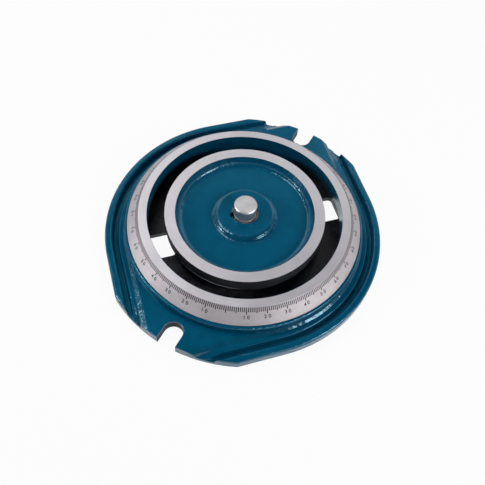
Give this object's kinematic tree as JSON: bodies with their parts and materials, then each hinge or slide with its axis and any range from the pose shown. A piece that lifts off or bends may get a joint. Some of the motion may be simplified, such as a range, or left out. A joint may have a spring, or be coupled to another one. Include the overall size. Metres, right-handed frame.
{
  "type": "machine vise swivel base",
  "caption": "Round swivel base that bolts to a machine table and carries a vise, with a graduated ring, a circular T-slot and a lift-out pivot pin.",
  "frame": {"origin": "middle of the underside, level with the machine table", "axes": "+Z along the pivot pin, upwards; the two bolting lugs lie on Y, with the zero of the scale towards -Y"},
  "size_m": [0.2618, 0.2752, 0.0447],
  "materials": {
    "blue_paint": "gloss enamel over iron casting",
    "turned_steel": "turned",
    "black_iron": "black",
    "ground_steel": "ground",
    "screw_steel": "black oxide"
  },
  "bodies": {
    "base": {"base_casting": "blue_paint", "graduated_ring": "turned_steel", "t_slot_floor": "black_iron", "centre_hub": "blue_paint", "pivot_bush": "turned_steel", "pin_key": "ground_steel", "ring_screws": "screw_steel", "hub_screws": "screw_steel", "ring_dowels": "ground_steel"},
    "pin": {"pivot_pin": "ground_steel"}
  },
  "joints": [
    {"name": "pin_lift", "type": "slide", "parent": "base", "child": "pin", "axis": [0, 0, 1], "range_m": [0, 0.023]}
  ]
}
